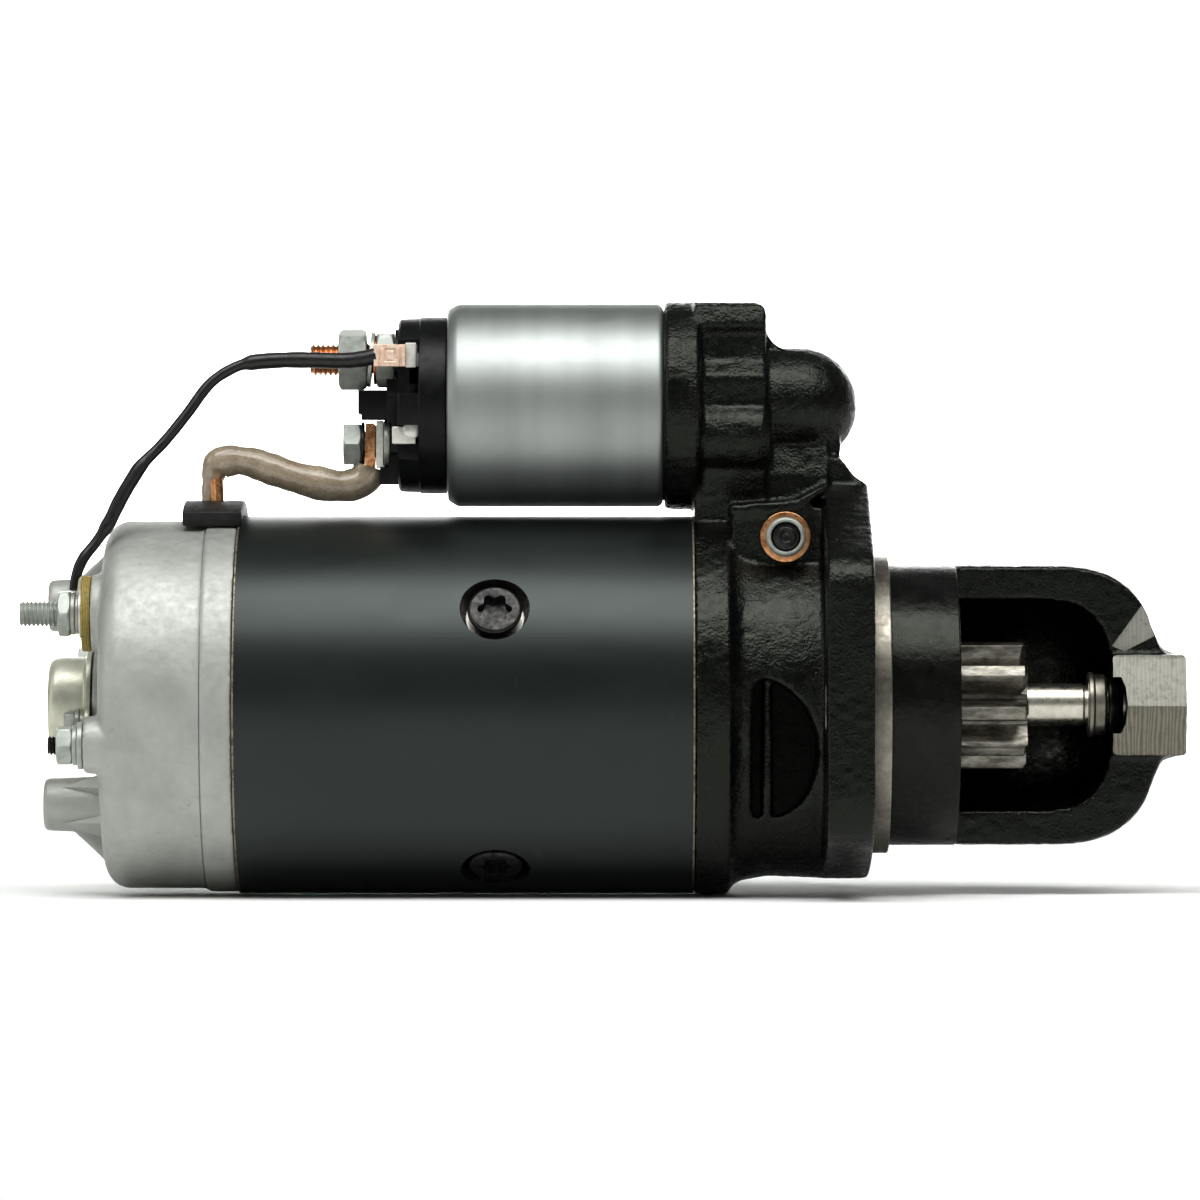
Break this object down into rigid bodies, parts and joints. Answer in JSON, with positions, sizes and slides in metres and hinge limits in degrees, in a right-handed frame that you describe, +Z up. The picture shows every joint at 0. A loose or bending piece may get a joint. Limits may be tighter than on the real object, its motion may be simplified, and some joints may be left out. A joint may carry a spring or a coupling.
{
  "type": "starter motor",
  "caption": "Direct-drive starter motor: round field frame, cast drive housing with an open nose and sliding pinion, solenoid on top, terminals and leads.",
  "frame": {"origin": "centre of the mounting flange's engine-side face, on the shaft axis", "axes": "+X along the shaft towards the pinion, +Z up to the solenoid; -Y is the side with the nose window"},
  "size_m": [0.347, 0.14, 0.1769],
  "materials": {
    "frame_paint": "semi-matt black paint",
    "cast_paint": "rough sand casting under glossy black paint",
    "cast_aluminium": "satin cast aluminium",
    "cap_metal": "smooth pressed metal",
    "solenoid_zinc": "bright zinc plate",
    "black_plastic": "satin moulded black",
    "enamelled_copper": "enamelled copper wire",
    "machined_steel": "turned steel",
    "terminal_copper": "bare copper",
    "zinc_plate": "zinc-plated steel",
    "tinned_steel": "tinned plate",
    "lead_sleeve": "varnished woven sleeve",
    "rubber": "matt black rubber",
    "black_heat_shrink": "satin black sleeve",
    "phenolic": "paper phenolic board",
    "black_steel": "oiled black steel",
    "gear_steel": "case-hardened, oily",
    "coil_tape": "cotton tape, varnished",
    "brush_carbon": "copper-graphite"
  },
  "bodies": {
    "root": {"field_frame": "frame_paint", "drive_housing": "cast_paint", "commutator_end_cover": "cast_aluminium", "bearing_cap": "cap_metal", "solenoid_can": "solenoid_zinc", "solenoid_cap": "black_plastic", "solenoid_coil": "enamelled_copper", "solenoid_core": "machined_steel", "battery_stud": "terminal_copper", "battery_nut": "zinc_plate", "battery_stud_inner_nut": "zinc_plate", "motor_terminal_bolt": "zinc_plate", "motor_lead_lug": "terminal_copper", "spade_tab": "tinned_steel", "motor_lead": "lead_sleeve", "lead_grommet": "rubber", "jumper_terminal": "terminal_copper", "jumper_lead": "black_heat_shrink", "ground_stud": "zinc_plate", "ground_nut": "zinc_plate", "ring_terminal": "tinned_steel", "insulating_washer": "phenolic", "brush_plate": "zinc_plate", "pivot_bolt": "black_steel", "pivot_washer": "terminal_copper", "pivot_nut": "zinc_plate", "pole_shoe_1": "machined_steel", "field_coil_1": "coil_tape", "pole_screw_1": "black_steel", "brush_1": "brush_carbon", "pole_shoe_2": "machined_steel", "field_coil_2": "coil_tape", "pole_screw_2": "black_steel", "brush_2": "brush_carbon", "pole_shoe_3": "machined_steel", "field_coil_3": "coil_tape", "pole_screw_3": "black_steel", "brush_3": "brush_carbon", "pole_shoe_4": "machined_steel", "field_coil_4": "coil_tape", "pole_screw_4": "black_steel", "brush_4": "brush_carbon", "cap_screw_1": "zinc_plate", "through_bolt_1": "black_steel", "through_bolt_nut_1": "zinc_plate", "cap_screw_2": "zinc_plate", "through_bolt_2": "black_steel", "through_bolt_nut_2": "zinc_plate"},
    "armature": {"armature_shaft": "machined_steel", "armature_core": "black_steel", "commutator": "terminal_copper", "stop_collar": "black_steel"},
    "drive_ring": {"guide_ring": "machined_steel", "meshing_spring": "black_steel"},
    "clutch": {"clutch_shell": "machined_steel"},
    "pinion": {"pinion": "gear_steel"},
    "plunger": {"plunger": "zinc_plate", "return_spring": "machined_steel"},
    "lever": {"shift_lever": "black_steel"},
    "contacts": {"contact_bridge": "terminal_copper"}
  },
  "joints": [
    {"name": "plunger_slide", "type": "slide", "parent": "root", "child": "plunger", "axis": [-1, 0, 0], "range_m": [0, 0.0146], "stiffness_N_per_m": 1500, "springref_m": -0.01, "deforming": ["return_spring"]},
    {"name": "lever_pivot", "type": "hinge", "parent": "root", "child": "lever", "pos_m": [-0.0252, 0, 0.05], "axis": [0, -1, 0], "range_deg": [0, 21.2]},
    {"name": "armature_spin", "type": "hinge", "parent": "root", "child": "armature", "pos_m": [0, 0, 0], "axis": [1, 0, 0], "continuous": true},
    {"name": "drive_slide", "type": "slide", "parent": "armature", "child": "drive_ring", "axis": [1, 0, 0], "range_m": [0, 0.0185]},
    {"name": "drive_twist", "type": "hinge", "parent": "drive_ring", "child": "clutch", "pos_m": [0, 0, 0], "axis": [1, 0, 0], "range_deg": [0, 20.2]},
    {"name": "pinion_overrun", "type": "hinge", "parent": "clutch", "child": "pinion", "pos_m": [0, 0, 0], "axis": [1, 0, 0], "continuous": true},
    {"name": "contact_slide", "type": "slide", "parent": "root", "child": "contacts", "axis": [-1, 0, 0], "range_m": [0, 0.0036]}
  ],
  "couplings": [
    {"joint": "lever_pivot", "follows": "plunger_slide", "rad_per_m": 25.33},
    {"joint": "drive_slide", "follows": "plunger_slide", "ratio": 1.2594},
    {"joint": "drive_twist", "follows": "plunger_slide", "rad_per_m": 24},
    {"joint": "contact_slide", "follows": "plunger_slide", "ratio": 0.245}
  ]
}
